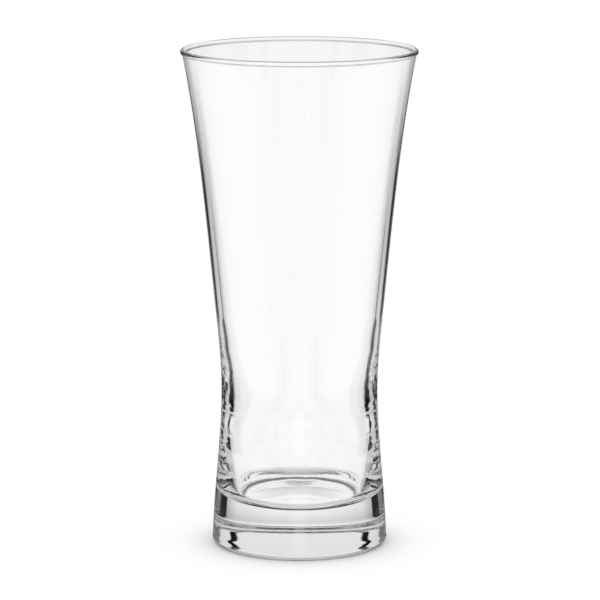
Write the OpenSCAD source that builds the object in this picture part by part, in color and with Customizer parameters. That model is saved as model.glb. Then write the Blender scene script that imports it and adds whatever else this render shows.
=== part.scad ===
// Pilsner glass, pressed and blown in one piece of clear soda-lime glass.
// Its three regions meet face to face: the solid base with the rounded well,
// the bowl that draws in to a waist and flares to the mouth, and the rim bead.
// Millimetres, +Z up, origin on the axis at the table.

/* [Overall] */
// Height from the table to the top of the rim
glass_h = 180; // [165:1:215]
// Outside diameter of the rim bead
rim_d = 85; // [78:0.5:95]
// Outside diameter at the waist
waist_d = 56.5; // [53:0.5:60]
// Outside diameter of the base, just above its rounded heel
base_d = 63.3; // [60:0.1:70]

/* [Bowl] */
// Height of the waist above the table
waist_h = 57; // [50:1:66]
// Height at which the flare settles to a steady lean
flare_h = 85; // [78:1:100]
// Outside diameter at that height
flare_d = 60.4; // [57:0.1:66]
// Outward lean of the wall at that height, as run over rise
flare_lean_share = 0.1; // [0.06:0.01:0.14]
// Outward lean of the wall at the rim, as run over rise
rim_lean_share = 0.195; // [0.14:0.005:0.25]
// Height of the throat, where the bore is narrowest
throat_h = 52.4; // [50:0.2:55]
// Wall thickness at the throat, where the glass was blown out least
throat_wall = 4.6; // [3.6:0.1:5.4]
// Where the bore has opened out, as a share of the way from the throat up to flare_h
swell_share = 0.63; // [0.55:0.01:0.7]
// Wall thickness at that height
swell_wall = 2.95; // [2.4:0.05:4]
// Outward lean of the bore at that height, as run over rise
swell_lean_share = 0.11; // [0.06:0.01:0.14]
// Wall thickness where the flare settles
flare_wall = 2.6; // [2:0.05:4]
// Wall thickness just under the rim
rim_wall = 1.5; // [1.2:0.05:1.8]

/* [Rim] */
// Thickness of the rounded bead
bead_t = 2; // [1.9:0.05:2.8]
// How far the bead stands out past the wall's outer face
bead_stand = 0.55; // [0.1:0.05:0.8]
// Height of the rim region, from the bowl to the top
rim_band = 6; // [4:0.5:12]

/* [Base] */
// Height of the well's floor above the table
floor_h = 15.5; // [12:0.1:17]
// Radius of the dish that rises from the flat floor
dish_r = 15; // [10:0.5:20]
// How far off upright the dish ends, in degrees
dish_a = 55; // [50:1:65]
// Radius of the shoulder between the dish and the well's side
shoulder_r = 3.6; // [2.6:0.1:6]
// How far off upright the shoulder ends, in degrees
shoulder_a = 8.9; // [6:0.1:9.5]
// Radius of the well's side, which rises until it stands upright
belly_r = 108; // [80:1:112]
// Inside diameter of the well where its side stands upright
well_d = 50.6; // [48:0.2:52]
// Inward lean of the outer wall above the heel, as run over rise
base_lean_share = 0.03; // [0:0.005:0.05]
// Radius of the heel, between the side and the table
heel_r = 2.3; // [1.5:0.1:4]
// Width of the flat ring that the glass stands on
ring_w = 3; // [1.5:0.25:6]
// Height of the hollow under the base
punt_h = 0.9; // [0.5:0.1:2.5]

/* [Hidden] */

// Straight facets in each long curve of the outline, and in each small arc
wall_steps = 14;
arc_steps = 10;
$fn = 96;

// Stations of the outer face, each [height, radius, lean]
heel_station = [heel_r, base_d / 2, -base_lean_share];
waist_station = [waist_h, waist_d / 2, 0];
flare_station = [flare_h, flare_d / 2, flare_lean_share];
bead_h = glass_h - bead_t / 2;
rim_station = [bead_h, rim_d / 2 - bead_stand, rim_lean_share];
outer_face = [heel_station, waist_station, flare_station, rim_station];

// The well's three arcs run into one another: each centre, from the side down to the floor
well_h = floor_h + dish_r * (1 - sin(dish_a)) + shoulder_r * (sin(dish_a) - sin(shoulder_a))
    + belly_r * sin(shoulder_a);
belly_c = [well_d / 2 - belly_r, well_h];
shoulder_c = belly_c + (belly_r - shoulder_r) * [cos(shoulder_a), -sin(shoulder_a)];
dish_c = shoulder_c + (shoulder_r - dish_r) * [cos(dish_a), -sin(dish_a)];

// Stations of the inner face; above the well, each is one wall thickness inside the outer face
well_station = [well_h, well_d / 2, 0];
swell_h = throat_h + swell_share * (flare_h - throat_h);
throat_station = [throat_h, radius_at(outer_face, throat_h) - throat_wall, 0];
swell_station = [swell_h, radius_at(outer_face, swell_h) - swell_wall, swell_lean_share];
inner_flare = [flare_h, flare_d / 2 - flare_wall, flare_lean_share];
inner_rim = [bead_h, rim_d / 2 - bead_stand - rim_wall, rim_lean_share];
inner_face = [well_station, throat_station, swell_station, inner_flare, inner_rim];

// Where the regions meet
base_top = well_h;
bowl_top = glass_h - rim_band;

// Radius at height h on the smooth curve between the stations a and b
function between(a, b, h) =
    let (rise = b[0] - a[0], s = (h - a[0]) / rise)
    a[1] * (1 + 2 * s) * pow(1 - s, 2)
    + b[1] * s * s * (3 - 2 * s)
    + rise * a[2] * s * pow(1 - s, 2)
    - rise * b[2] * s * s * (1 - s);

// Radius at height h on a face given by its stations, looked for from station i up
function radius_at(face, h, i = 0) =
    h > face[i + 1][0] && i + 2 < len(face) ? radius_at(face, h, i + 1)
    : between(face[i], face[i + 1], h);

// Points of a face from height low to height high, in even steps
function run(face, low, high, steps = wall_steps) =
    [for (i = [0:steps]) let (h = low + (high - low) * i / steps) [radius_at(face, h), h]];

// Points of a face that also pass through each of its stations on the way
function long_run(face, low, high) =
    let (inside = [for (s = face) if (s[0] > low && s[0] < high) s[0]], stops = concat(inside, high))
    concat(run(face, low, stops[0]),
        [for (k = [1:len(inside)], i = [1:wall_steps]) run(face, stops[k - 1], stops[k])[i]]);

// Points of an arc about a centre [radius, height], from angle a to angle b
function arc(centre, r, a, b, steps = arc_steps) =
    [for (i = [0:steps]) let (t = a + (b - a) * i / steps) centre + r * [cos(t), sin(t)]];

// The same points from last to first
function turned(points) = [for (i = [len(points) - 1:-1:0]) points[i]];

// Solid base: hollow underneath, bearing ring, heel, side and the rounded well
module base() {
    ring_out = base_d / 2 - heel_r;
    ring_in = ring_out - ring_w;
    punt_r = (ring_in * ring_in + punt_h * punt_h) / (2 * punt_h);
    punt_a = asin(ring_in / punt_r);
    under = arc([0, punt_h - punt_r], punt_r, 90, 90 - punt_a);
    heel = arc([ring_out, heel_r], heel_r, -90, 0);
    side = run(outer_face, heel_r, base_top);
    belly = arc(belly_c, belly_r, 0, -shoulder_a);
    shoulder = arc(shoulder_c, shoulder_r, -shoulder_a, -dish_a);
    dish = arc(dish_c, dish_r, -dish_a, -90);
    color("gainsboro", 0.6)
        rotate_extrude()
            polygon(concat(under, heel, [for (i = [1:wall_steps]) side[i]], belly,
                [for (i = [1:arc_steps]) shoulder[i]], [for (i = [1:arc_steps]) dish[i]],
                [[0, floor_h]]));
}

// Bowl: the waisted wall, thick at the waist and thin towards the mouth
module bowl() {
    color("whitesmoke", 0.4)
        rotate_extrude()
            polygon(concat(long_run(outer_face, base_top, bowl_top),
                turned(long_run(inner_face, base_top, bowl_top))));
}

// Rim: the last of the wall and the fire-polished bead that ends it
module rim() {
    bead_r = bead_t / 2;
    bead_c = [rim_d / 2 - bead_r, bead_h];
    // The angle on the bead at which the wall's leaning outer face runs into it
    bead_a = -acos((bead_r - bead_stand) / norm([bead_r, bead_r * rim_lean_share])) - atan(rim_lean_share);
    outer = run(outer_face, bowl_top, bead_h + bead_r * sin(bead_a), arc_steps);
    inner = run(inner_face, bowl_top, bead_h - bead_r, arc_steps);
    color("white", 0.5)
        rotate_extrude()
            polygon(concat([for (i = [0:arc_steps - 1]) outer[i]],
                arc(bead_c, bead_r, bead_a, 180, 3 * arc_steps), turned(inner)));
}

base();
bowl();
rim();
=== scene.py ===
# Pilsner glass standing on a white table in a bright studio
import bpy
import math
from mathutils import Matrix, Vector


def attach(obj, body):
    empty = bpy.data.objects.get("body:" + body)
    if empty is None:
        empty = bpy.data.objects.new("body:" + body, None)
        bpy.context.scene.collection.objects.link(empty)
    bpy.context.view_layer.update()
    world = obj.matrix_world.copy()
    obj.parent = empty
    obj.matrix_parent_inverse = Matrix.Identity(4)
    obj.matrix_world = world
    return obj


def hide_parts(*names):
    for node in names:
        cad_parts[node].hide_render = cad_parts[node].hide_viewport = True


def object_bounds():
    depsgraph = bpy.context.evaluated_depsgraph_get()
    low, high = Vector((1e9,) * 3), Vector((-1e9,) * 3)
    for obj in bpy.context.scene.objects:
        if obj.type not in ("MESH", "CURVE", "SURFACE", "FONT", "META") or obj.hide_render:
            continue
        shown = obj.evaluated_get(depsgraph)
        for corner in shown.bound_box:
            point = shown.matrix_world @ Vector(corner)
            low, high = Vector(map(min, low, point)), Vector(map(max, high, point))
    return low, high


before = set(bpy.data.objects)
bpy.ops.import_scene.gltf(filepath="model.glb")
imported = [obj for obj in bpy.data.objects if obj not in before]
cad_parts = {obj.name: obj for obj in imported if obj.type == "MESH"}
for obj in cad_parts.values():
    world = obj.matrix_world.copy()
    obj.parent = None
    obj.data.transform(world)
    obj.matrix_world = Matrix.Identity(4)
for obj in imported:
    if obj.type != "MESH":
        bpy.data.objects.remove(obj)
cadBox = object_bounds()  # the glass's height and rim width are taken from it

mm = 0.001
quarterTurn = 90
halfTurn = 180
wallFaces = 2       # light that has crossed more faces than this has met the far wall
scene = bpy.context.scene

# Camera: a long lens, a little above the rim, tipped down
shot = {
    "distance": 1246.4 * mm,    # from the glass's axis
    "height": 317.7 * mm,
    "side": 0.2 * mm,
    "tip": 10.4,                # degrees below the horizon
    "lens": 210.8,
    "sensor": 36.0,
    "nearest": 50 * mm,         # the range that it shows
    "farthest": 20.0,
}


def placeCamera():
    lens = bpy.data.cameras.new("camera")
    lens.lens = shot["lens"]
    lens.sensor_width = shot["sensor"]
    lens.clip_start = shot["nearest"]
    lens.clip_end = shot["farthest"]
    view = bpy.data.objects.new("camera", lens)
    scene.collection.objects.link(view)
    view.location = (shot["side"], -shot["distance"], shot["height"])
    view.rotation_euler = (math.radians(quarterTurn - shot["tip"]), 0, 0)
    scene.camera = view
    print("camera placed")


# Small helpers for node trees
def emptyTree(owner):
    owner.use_nodes = True
    owner.node_tree.nodes.clear()
    return owner.node_tree


def addNode(tree, kind, **settings):
    made = tree.nodes.new(kind)
    for name, value in settings.items():
        setattr(made, name, value)
    return made


def feed(tree, socket, value):
    if hasattr(value, "is_linked"):
        tree.links.new(value, socket)
    else:
        socket.default_value = value


def grey(level):
    return (level, level, level, 1)


def sums(tree, work, *values):
    made = addNode(tree, "ShaderNodeMath", operation=work)
    for socket, value in zip(made.inputs, values):
        feed(tree, socket, value)
    return made.outputs[0]


def moreThan(tree, count, other):
    # For whole numbers, so the edge is half way to the next
    return sums(tree, "GREATER_THAN", sums(tree, "SUBTRACT", count, other), 0.5)


def blendOf(tree, share, first, second):
    made = addNode(tree, "ShaderNodeMix", data_type="FLOAT")
    for place, value in ((0, share), (2, first), (3, second)):
        feed(tree, made.inputs[place], value)
    return made.outputs[0]


def shaderOf(tree, share, first, second):
    made = addNode(tree, "ShaderNodeMixShader")
    for socket, value in zip(made.inputs, (share, first.outputs[0], second.outputs[0])):
        feed(tree, socket, value)
    return made


def shine(tree, strength):
    made = addNode(tree, "ShaderNodeEmission")
    made.inputs["Color"].default_value = grey(1)
    feed(tree, made.inputs["Strength"], strength)
    return made


def pastEdge(tree, value, edge, softness):
    made = addNode(tree, "ShaderNodeMapRange", interpolation_type="SMOOTHSTEP")
    feed(tree, made.inputs["Value"], value)
    made.inputs["From Min"].default_value = edge - softness
    made.inputs["From Max"].default_value = edge + softness
    return made.outputs["Result"]


def beforeEdge(tree, value, edge, softness):
    return sums(tree, "SUBTRACT", 1, pastEdge(tree, value, edge, softness))


def levels(tree, share, stops):
    made = addNode(tree, "ShaderNodeValToRGB")
    points = made.color_ramp.elements
    points.remove(points[1])
    for place, (at, level) in enumerate(stops):
        point = points[0] if place == 0 else points.new(at)
        point.position = at
        point.color = grey(level)
    feed(tree, made.inputs[0], share)
    return made.outputs[0]


# Levels by degrees off the line from front to back, by degrees up from level, and by mm
def levelsAside(tree, aside, stops):
    return levels(tree, sums(tree, "DIVIDE", aside, quarterTurn),
        [(angle / quarterTurn, level) for angle, level in stops])


def levelsUp(tree, rise, stops):
    share = sums(tree, "DIVIDE", sums(tree, "ADD", rise, quarterTurn), halfTurn)
    return levels(tree, share, [((angle + quarterTurn) / halfTurn, level) for angle, level in stops])


def levelsAlong(tree, length, reach, stops):
    return levels(tree, sums(tree, "DIVIDE", length, reach),
        [(at * mm / reach, level) for at, level in stops])


def offAxis(tree, spot):
    split = addNode(tree, "ShaderNodeSeparateXYZ")
    tree.links.new(spot, split.inputs[0])
    across = sums(tree, "ABSOLUTE", split.outputs[0])
    along = sums(tree, "ABSOLUTE", split.outputs[1])
    return sums(tree, "DEGREES", sums(tree, "ARCTAN2", across, along)), split.outputs[2]


# Studio: a bright field with dark cards in it, which the glass bends into its lines.
# Each list gives the level by degrees off the line from front to back, so both look alike
studio = {
    # Off the outside of the wall, for light that goes down, and for level or rising light
    "reflected": [(0, 0.95), (9, 0.7), (13, 0.15), (24, 0.15), (29, 0.9), (90, 1.0)],
    "reflectedLevel": [(0, 0.9), (8, 0.5), (12, 0.05), (20, 0.02), (84, 0.02), (90, 0.3)],
    "reflectedLow": 0.85,       # steeply down
    "reflectedHigh": 0.6,       # and up
    # Straight through the solid base, going down
    "through": [(0, 0.95), (38, 0.85), (44, 0.7), (48.5, 0.6), (50, 0.01), (62.5, 0.01), (64, 0.3),
        (75, 0.4), (81, 0.85), (90, 0.95)],
    "throughLevel": 0.6,        # past its dark card, near level
    "throughSteep": 0.93,       # and nearly straight down
    # Turned back once inside the wall or the base, going down and going up
    "turnedDown": [(0, 1.0), (5, 0.9), (8, 0.01), (18, 0.01), (21, 0.75), (26, 0.9), (34, 0.9),
        (37, 0.65), (40.5, 0.01), (53, 0.01), (58, 0.5), (90, 0.8)],
    "turnedUp": [(0, 1.0), (33, 1.0), (35, 0.01), (40, 0.01), (42, 1.0), (55, 1.0), (59, 0.25),
        (74, 0.25), (80, 0.9), (90, 1.0)],
    # Turned back more than once, and the share of it that is left up to a few times
    "turnedMore": [(0, 0.95), (18, 0.95), (22, 0.05), (40, 0.05), (44, 0.95), (58, 0.95),
        (63, 0.05), (90, 0.05)],
    "fewTurns": 7,
    "fewShare": 0.15,
    # Through both walls
    "clear": [(0, 1.0), (10, 1.0), (13, 0.9), (17, 0.92), (22, 0.85), (26, 0.85), (30, 1.0),
        (90, 1.0)],
    # A share of each of these by the angle up
    "height": [(-90, 1.0), (2, 1.0), (6, 0.85), (26, 0.8), (45, 0.4), (90, 0.4)],
    "downHeight": [(-90, 1.0), (-26, 1.0), (-20, 0.85), (90, 0.85)],
    "throughHeight": [(-90, 1.0), (-62, 1.0), (-52, 0.3), (-48, 0.3), (-35, 1.0), (1, 1.0),
        (5, 0.4), (11, 0.4), (16, 0.9), (22, 0.9), (35, 0.3), (90, 0.3)],
    "clearHeight": [(-90, 1.0), (-62, 1.0), (-54, 0.3), (-39, 0.3), (-32, 1.0), (90, 1.0)],
    # Through both walls, and broken up in the well
    "brokenHeight": [(-90, 0.9), (40, 0.9), (47, 0.12), (90, 0.12)],
    # How far the cards for turned light lean, in degrees
    "sway": [(-90, -16), (-28, -14), (-24, -9), (-20, -8), (-16.5, -7), (-14.5, 0), (-11, 4),
        (-8, 0), (-5, 4), (1, 5), (5, 0), (10, 0), (13.5, -1), (15.5, 0), (17, 5), (18.5, 1),
        (20, -2), (24, 0), (90, 0)],
    "swayMost": 20.0,
    # Where one list gives way to another: degrees up, and how softly
    "reflectedSplit": (-14.0, 2.0),
    "lowSplit": (-31.0, 2.0),
    "highSplit": (3.0, 2.0),
    "throughSplit": (-8.0, 1.5),
    "steepSplit": (-58.0, 4.0),
    "turnedSplit": (1.0, 2.0),
    "table": 1.0,               # light on the table, and behind it
}


def swayOf(tree, rise):
    # A ramp holds levels from 0 to 1, so no lean is its middle
    middle = 0.5
    most = studio["swayMost"]
    share = levelsUp(tree, rise,
        [(angle, middle + middle * lean / most) for angle, lean in studio["sway"]])
    return sums(tree, "MULTIPLY", sums(tree, "SUBTRACT", share, middle), most / middle)


def lightStudio():
    world = bpy.data.worlds.new("studio")
    scene.world = world
    tree = emptyTree(world)
    finish = addNode(tree, "ShaderNodeOutputWorld")
    light = addNode(tree, "ShaderNodeBackground")
    light.inputs["Color"].default_value = grey(1)
    tree.links.new(light.outputs[0], finish.inputs[0])
    path = addNode(tree, "ShaderNodeLightPath").outputs
    aside, up = offAxis(tree, addNode(tree, "ShaderNodeTexCoord").outputs["Generated"])
    rise = sums(tree, "DEGREES", sums(tree, "ARCSINE", up))
    leaning = sums(tree, "SUBTRACT", aside, swayOf(tree, rise))
    inGlass = moreThan(tree, path["Transmission Depth"], 0)
    bothWalls = moreThan(tree, path["Transmission Depth"], wallFaces)
    turned = moreThan(tree, path["Glossy Depth"], 0)
    turnedAgain = moreThan(tree, path["Glossy Depth"], 1)
    turnedOften = moreThan(tree, path["Glossy Depth"], studio["fewTurns"])

    level = {name: levelsAside(tree, aside, studio[name])
        for name in ("reflected", "reflectedLevel", "through", "turnedMore", "clear")}
    level |= {name: levelsAside(tree, leaning, studio[name]) for name in ("turnedDown", "turnedUp")}
    height = {name: levelsUp(tree, rise, studio[name])
        for name in ("height", "downHeight", "throughHeight", "clearHeight", "brokenHeight")}
    past = {name: pastEdge(tree, rise, *studio[name])
        for name in ("reflectedSplit", "lowSplit", "highSplit", "throughSplit", "steepSplit",
            "turnedSplit")}

    outside = blendOf(tree, past["reflectedSplit"], level["reflected"], level["reflectedLevel"])
    outside = blendOf(tree, past["lowSplit"], studio["reflectedLow"], outside)
    outside = blendOf(tree, past["highSplit"], outside, studio["reflectedHigh"])
    outside = sums(tree, "MULTIPLY", outside, height["height"])

    turnedDown = sums(tree, "MULTIPLY", level["turnedDown"], height["downHeight"])
    turnedOnce = blendOf(tree, past["turnedSplit"], turnedDown, level["turnedUp"])
    left = blendOf(tree, turnedOften, studio["fewShare"], 1)
    turnedMore = sums(tree, "MULTIPLY", left, level["turnedMore"])
    turnedBack = blendOf(tree, turnedAgain, turnedOnce, turnedMore)
    turnedBack = sums(tree, "MULTIPLY", turnedBack, height["height"])

    nearLevel = sums(tree, "MULTIPLY", past["throughSplit"], studio["throughLevel"])
    through = sums(tree, "MAXIMUM", level["through"], nearLevel)
    through = blendOf(tree, past["steepSplit"], studio["throughSteep"], through)
    through = sums(tree, "MULTIPLY", through, height["throughHeight"])

    clearLight = sums(tree, "MULTIPLY", level["clear"], height["clearHeight"])
    farWall = blendOf(tree, turned, clearLight, height["brokenHeight"])
    around = blendOf(tree, inGlass, outside, blendOf(tree, turned, through, turnedBack))
    around = blendOf(tree, bothWalls, around, farWall)

    # The table and the camera get even light; the cards show in the glass alone
    depth = sums(tree, "ADD", path["Transmission Depth"], path["Glossy Depth"])
    atGlass = moreThan(tree, depth, path["Diffuse Depth"])
    around = blendOf(tree, atGlass, studio["table"], around)
    tree.links.new(around, light.inputs["Strength"])
    print("studio lit")


# Table: white, with the glass's soft shadow. Light that the glass has bent meets the lit part of it, a
# painted glow;
# the rest lets such light by to the studio, with a painted shadow that darkens it round the foot
table = {
    "size": 3.0,
    "colour": 0.85,
    "glow": 0.15,
    "paintedFootShadow": [(0, 1.0), (27, 1.0), (29, 0.6), (30.5, 0.02), (32.5, 0.15), (37, 0.7), (45, 0.9),
        (52, 1.0)],             # painted shadow round the foot: level by mm from the axis
    "paintedFootShadowReach": 100 * mm,
    # Where it shows painted light, a glow, for turned light: near the glass if under it or to its sides,
    # or far away
    "lit": 0.68,
    "litRound": (104 * mm, 4 * mm),
    "litUnder": (34 * mm, 2 * mm),
    "litSide": (46.0, 3.0),     # degrees off the line from front to back
    "litFar": (680 * mm, 60 * mm),
    # And for light straight through both walls, and through one, which far off meets a painted glow
    "wellRound": (82 * mm, 5 * mm),
    "far": 0.93,
    "farRound": (300 * mm, 30 * mm),
}


def layTable():
    half = table["size"] / 2
    corners = [(-half, -half, 0), (half, -half, 0), (half, half, 0), (-half, half, 0)]
    mesh = bpy.data.meshes.new("table")
    mesh.from_pydata(corners, [], [(0, 1, 2, 3)])
    top = bpy.data.objects.new("table", mesh)
    scene.collection.objects.link(top)

    finish = bpy.data.materials.new("tableWhite")
    tree = emptyTree(finish)
    surface = addNode(tree, "ShaderNodeOutputMaterial")
    paint = addNode(tree, "ShaderNodeBsdfDiffuse")
    paint.inputs["Color"].default_value = grey(table["colour"])
    seen = addNode(tree, "ShaderNodeAddShader")
    tree.links.new(paint.outputs[0], seen.inputs[0])
    tree.links.new(shine(tree, table["glow"]).outputs[0], seen.inputs[1])

    path = addNode(tree, "ShaderNodeLightPath").outputs
    spot = addNode(tree, "ShaderNodeTexCoord").outputs["Object"]
    length = addNode(tree, "ShaderNodeVectorMath", operation="LENGTH")
    tree.links.new(spot, length.inputs[0])
    away = length.outputs["Value"]
    aside, up = offAxis(tree, spot)
    paintedFootShadow = levelsAlong(tree, away, table["paintedFootShadowReach"], table["paintedFootShadow"])
    inGlass = moreThan(tree, path["Transmission Depth"], 0)
    bothWalls = moreThan(tree, path["Transmission Depth"], wallFaces)
    turned = sums(tree, "MULTIPLY", inGlass, moreThan(tree, path["Glossy Depth"], 0))

    under = beforeEdge(tree, away, *table["litUnder"])
    side = sums(tree, "MAXIMUM", under, pastEdge(tree, aside, *table["litSide"]))
    near = sums(tree, "MULTIPLY", beforeEdge(tree, away, *table["litRound"]), side)
    turnedHere = sums(tree, "MAXIMUM", near, pastEdge(tree, away, *table["litFar"]))
    turnedHere = sums(tree, "MULTIPLY", turned, turnedHere)
    farHere = sums(tree, "MULTIPLY", inGlass, pastEdge(tree, away, *table["farRound"]))
    inWell = beforeEdge(tree, away, *table["wellRound"])
    here = blendOf(tree, bothWalls, blendOf(tree, turned, farHere, turnedHere), inWell)
    oneWall = blendOf(tree, turned, table["far"], table["lit"])
    # Painted glow for bent light: the painted lit levels through one wall, the painted foot shadow
    # through both
    lit = shine(tree, blendOf(tree, bothWalls, oneWall, paintedFootShadow))
    # Elsewhere bent light passes on, darkened by the painted foot shadow unless it was turned
    beyond = addNode(tree, "ShaderNodeBsdfTransparent")
    tree.links.new(blendOf(tree, turned, paintedFootShadow, 1), beyond.inputs["Color"])

    depth = sums(tree, "ADD", path["Transmission Depth"], path["Glossy Depth"])
    bent = shaderOf(tree, here, beyond, lit)
    shown = shaderOf(tree, moreThan(tree, depth, 0), seen, bent)
    tree.links.new(shown.outputs[0], surface.inputs["Surface"])
    mesh.materials.append(finish)
    print("table laid")


# Glass: one closed body, turned about its axis; heights from the table, sizes in mm
low, high = cadBox
glass = {
    "height": (high[2] - low[2]) / mm,
    "rimWidth": (high[0] - low[0]) / mm,
    "baseWidth": 63.3, "baseLean": 0.03, "heelRound": 2.3, "footRing": 3.0, "punt": 0.9,
    "waistHeight": 57.0, "waistWidth": 56.5,
    "throatHeight": 52.4, "throatWall": 4.6,
    "swellShare": 0.63, "swellWall": 2.95, "swellLean": 0.11,
    "flareHeight": 85.0, "flareWidth": 60.4, "flareLean": 0.1, "flareWall": 2.6,
    "rimLean": 0.195, "rimWall": 1.5, "beadThick": 2.0, "beadStand": 0.55,
    "floorThick": 15.5, "wellWidth": 50.6,
    "well": [(108.0, 8.9), (3.6, 55.0), (15.0, 90.0)],      # each arc's radius and the slope it ends at
    # The corner under the bead stays crisp: a row this far below it, and the next this many degrees on
    "crease": 0.04, "creaseTurn": 2.0,
    # The mesh: how tall a row is, how many there are in the small arcs and on the floor, and the sides
    "rowStep": 0.3, "puntRows": 40, "heelRows": 24, "beadRows": 48, "arcRows": 12, "floorRows": 16,
    "sides": 288,
    "onAxis": 1e-6,             # a ring narrower than this is one point
}


def between(first, second, height):
    rise = second[0] - first[0]
    s = (height - first[0]) / rise
    return (first[1] * (1 + 2 * s) * (1 - s) ** 2 + second[1] * s * s * (3 - 2 * s)
        + rise * first[2] * s * (1 - s) ** 2 - rise * second[2] * s * s * (1 - s))


def radiusAt(face, height):
    for first, second in zip(face[:-1], face[1:]):
        if height <= second[0] or second is face[-1]:
            return between(first, second, height)


def faceRun(face, start, end):
    rows = max(2, int(abs(end - start) / glass["rowStep"]))
    heights = [start + (end - start) * row / rows for row in range(rows + 1)]
    return [(radiusAt(face, height), height) for height in heights]


def arcRun(centre, radius, start, end, rows):
    angles = [math.radians(start + (end - start) * row / rows) for row in range(rows + 1)]
    return [(centre[0] + radius * math.cos(a), centre[1] + radius * math.sin(a)) for a in angles]


def sine(degrees):
    return math.sin(math.radians(degrees))


def glassFaces():
    # Stations of the outer face and of the inner one above the well: height, radius and lean
    g = glass
    beadHeight = g["height"] - g["beadThick"] / 2
    wallEnd = g["rimWidth"] / 2 - g["beadStand"]
    outer = [(g["heelRound"], g["baseWidth"] / 2, -g["baseLean"]),
        (g["waistHeight"], g["waistWidth"] / 2, 0),
        (g["flareHeight"], g["flareWidth"] / 2, g["flareLean"]),
        (beadHeight, wallEnd, g["rimLean"])]
    starts = [0] + [end for radius, end in g["well"]]
    wellHeight = g["floorThick"] + sum(radius * (sine(end) - sine(start))
        for (radius, end), start in zip(g["well"], starts))
    swellHeight = g["throatHeight"] + g["swellShare"] * (g["flareHeight"] - g["throatHeight"])
    inner = [(wellHeight, g["wellWidth"] / 2, 0),
        (g["throatHeight"], radiusAt(outer, g["throatHeight"]) - g["throatWall"], 0),
        (swellHeight, radiusAt(outer, swellHeight) - g["swellWall"], g["swellLean"]),
        (g["flareHeight"], g["flareWidth"] / 2 - g["flareWall"], g["flareLean"]),
        (beadHeight, wallEnd - g["rimWall"], g["rimLean"])]
    return outer, inner


def footRun():
    # Hollow, bearing ring and heel, from the axis out
    g = glass
    ringOut = g["baseWidth"] / 2 - g["heelRound"]
    ringIn = ringOut - g["footRing"]
    puntRound = (ringIn ** 2 + g["punt"] ** 2) / (2 * g["punt"])
    puntTurn = math.degrees(math.asin(ringIn / puntRound))
    under = arcRun((0, g["punt"] - puntRound), puntRound, quarterTurn, quarterTurn - puntTurn,
        g["puntRows"])
    return under + arcRun((ringOut, g["heelRound"]), g["heelRound"], -quarterTurn, 0, g["heelRows"])


def wellRun(edge):
    # Arc after arc from the wall to the flat floor, then in to the axis
    g = glass
    well = [edge]
    turn = 0
    for arcRound, end in g["well"]:
        at = math.radians(turn)
        centre = (well[-1][0] - arcRound * math.cos(at), well[-1][1] + arcRound * math.sin(at))
        rows = max(g["arcRows"], int(arcRound * math.radians(end - turn) / g["rowStep"]))
        well += arcRun(centre, arcRound, -turn, -end, rows)[1:]
        turn = end
    floorRound = well[-1][0]
    rows = g["floorRows"]
    return well[1:] + [(floorRound * (1 - row / rows), g["floorThick"]) for row in range(1, rows + 1)]


def glassOutline():
    g = glass
    outer, inner = glassFaces()
    beadHeight = outer[-1][0]
    beadRound = g["beadThick"] / 2
    beadCentre = (g["rimWidth"] / 2 - beadRound, beadHeight)
    beadStart = -math.acos((beadRound - g["beadStand"]) / math.hypot(beadRound, beadRound * g["rimLean"]))
    beadStart = math.degrees(beadStart - math.atan(g["rimLean"]))
    wallTop = beadHeight + beadRound * sine(beadStart)
    side = faceRun(outer, g["heelRound"], wallTop)
    side.insert(-1, (radiusAt(outer, wallTop - g["crease"]), wallTop - g["crease"]))
    bead = arcRun(beadCentre, beadRound, beadStart, halfTurn, g["beadRows"])
    bead[0] = arcRun(beadCentre, beadRound, beadStart + g["creaseTurn"], halfTurn, 1)[0]
    wall = faceRun(inner, inner[0][0], beadHeight - beadRound)[::-1]
    return footRun() + side[1:] + bead + wall + wellRun(wall[-1])


def turnGlass():
    sides = glass["sides"]
    verts = []
    rows = []
    for radius, height in glassOutline():
        if radius < glass["onAxis"]:
            rows.append([len(verts)] * sides)
            verts.append((0, 0, height * mm))
            continue
        rows.append(list(range(len(verts), len(verts) + sides)))
        for side in range(sides):
            angle = 2 * math.pi * side / sides
            verts.append((radius * mm * math.cos(angle), radius * mm * math.sin(angle), height * mm))
    faces = []
    for lower, upper in zip(rows[:-1], rows[1:]):
        for side in range(sides):
            after = (side + 1) % sides
            ring = [lower[side], lower[after], upper[after], upper[side]]
            faces.append([v for at, v in enumerate(ring) if v not in ring[:at]])
    mesh = bpy.data.meshes.new("glass")
    mesh.from_pydata(verts, [], faces)
    mesh.polygons.foreach_set("use_smooth", [True] * len(mesh.polygons))
    mesh.update()
    body = bpy.data.objects.new("glass", mesh)
    scene.collection.objects.link(body)
    mesh.materials.append(clearGlass())
    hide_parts("base", "bowl", "rim")
    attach(body, "root")
    print("glass turned:", len(verts), "points")


# Clear soda-lime glass. It keeps light from the table close beside it, which makes the soft shadow
clear = {
    "bend": 1.5,
    "wave": 3.5 * mm,           # the slight waviness that the mould leaves, most at the waist
    "waveTall": 1.3,
    "waveDepth": 0.03 * mm,
    # How strong it is, by share of the height
    "waveHeight": [(0, 0.3), (0.08, 0.3), (0.12, 1.0), (0.32, 1.0), (0.42, 0.12), (1, 0.02)],
    # How much light it lets by, by mm from the table's point
    "shade": [(0, 0.0), (2.5, 0.08), (5, 0.22), (9, 0.4), (15, 0.65), (24, 0.88), (36, 1.0)],
    "shadeReach": 40 * mm,
}


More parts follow.
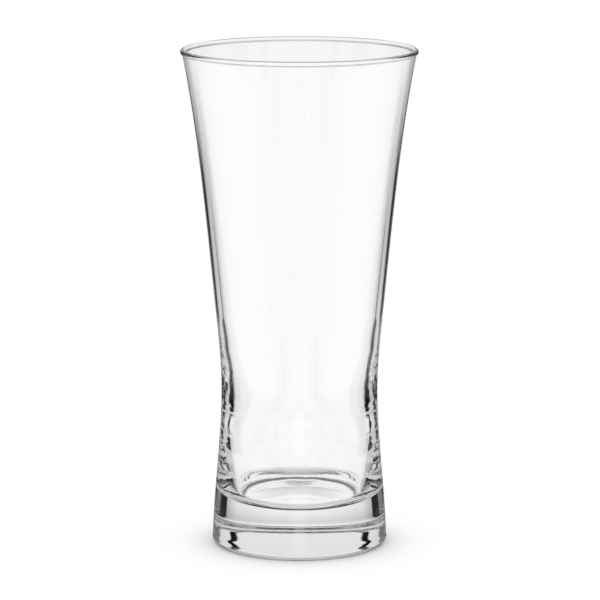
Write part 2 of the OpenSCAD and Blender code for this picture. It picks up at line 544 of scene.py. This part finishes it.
def waviness(tree):
    spot = addNode(tree, "ShaderNodeTexCoord").outputs["Object"]
    stretch = addNode(tree, "ShaderNodeMapping")
    across = 1 / clear["wave"]
    stretch.inputs["Scale"].default_value = (across, across, across / clear["waveTall"])
    tree.links.new(spot, stretch.inputs["Vector"])
    wave = addNode(tree, "ShaderNodeTexNoise")
    wave.inputs["Scale"].default_value = 1
    wave.inputs["Detail"].default_value = 1
    tree.links.new(stretch.outputs[0], wave.inputs["Vector"])
    split = addNode(tree, "ShaderNodeSeparateXYZ")
    tree.links.new(spot, split.inputs[0])
    share = sums(tree, "DIVIDE", split.outputs[2], glass["height"] * mm)
    relief = addNode(tree, "ShaderNodeBump")
    relief.inputs["Distance"].default_value = clear["waveDepth"]
    tree.links.new(levels(tree, share, clear["waveHeight"]), relief.inputs["Strength"])
    tree.links.new(wave.outputs["Fac"], relief.inputs["Height"])
    return relief.outputs[0]


def clearGlass():
    finish = bpy.data.materials.new("clearGlass")
    tree = emptyTree(finish)
    surface = addNode(tree, "ShaderNodeOutputMaterial")
    body = addNode(tree, "ShaderNodeBsdfPrincipled")
    body.inputs["Base Color"].default_value = grey(1)
    body.inputs["Transmission Weight"].default_value = 1
    body.inputs["Roughness"].default_value = 0
    body.inputs["IOR"].default_value = clear["bend"]
    tree.links.new(waviness(tree), body.inputs["Normal"])

    # The first face that light to the table meets shades it, and the others let it by
    path = addNode(tree, "ShaderNodeLightPath").outputs
    firstFace = levelsAlong(tree, path["Ray Length"], clear["shadeReach"], clear["shade"])
    later = moreThan(tree, path["Transparent Depth"], 0)
    shade = addNode(tree, "ShaderNodeBsdfTransparent")
    tree.links.new(blendOf(tree, later, firstFace, 1), shade.inputs["Color"])
    shown = body
    for kind in ("Is Diffuse Ray", "Is Shadow Ray"):
        shown = shaderOf(tree, path[kind], shown, shade)
    tree.links.new(shown.outputs[0], surface.inputs["Surface"])
    return finish


# Light crosses and turns back many times inside the glass
bounces = 64
scene.view_settings.view_transform = "Standard"
for limit in ("max_bounces", "transmission_bounces", "glossy_bounces", "transparent_max_bounces"):
    setattr(scene.cycles, limit, bounces)
placeCamera()
lightStudio()
layTable()
turnGlass()
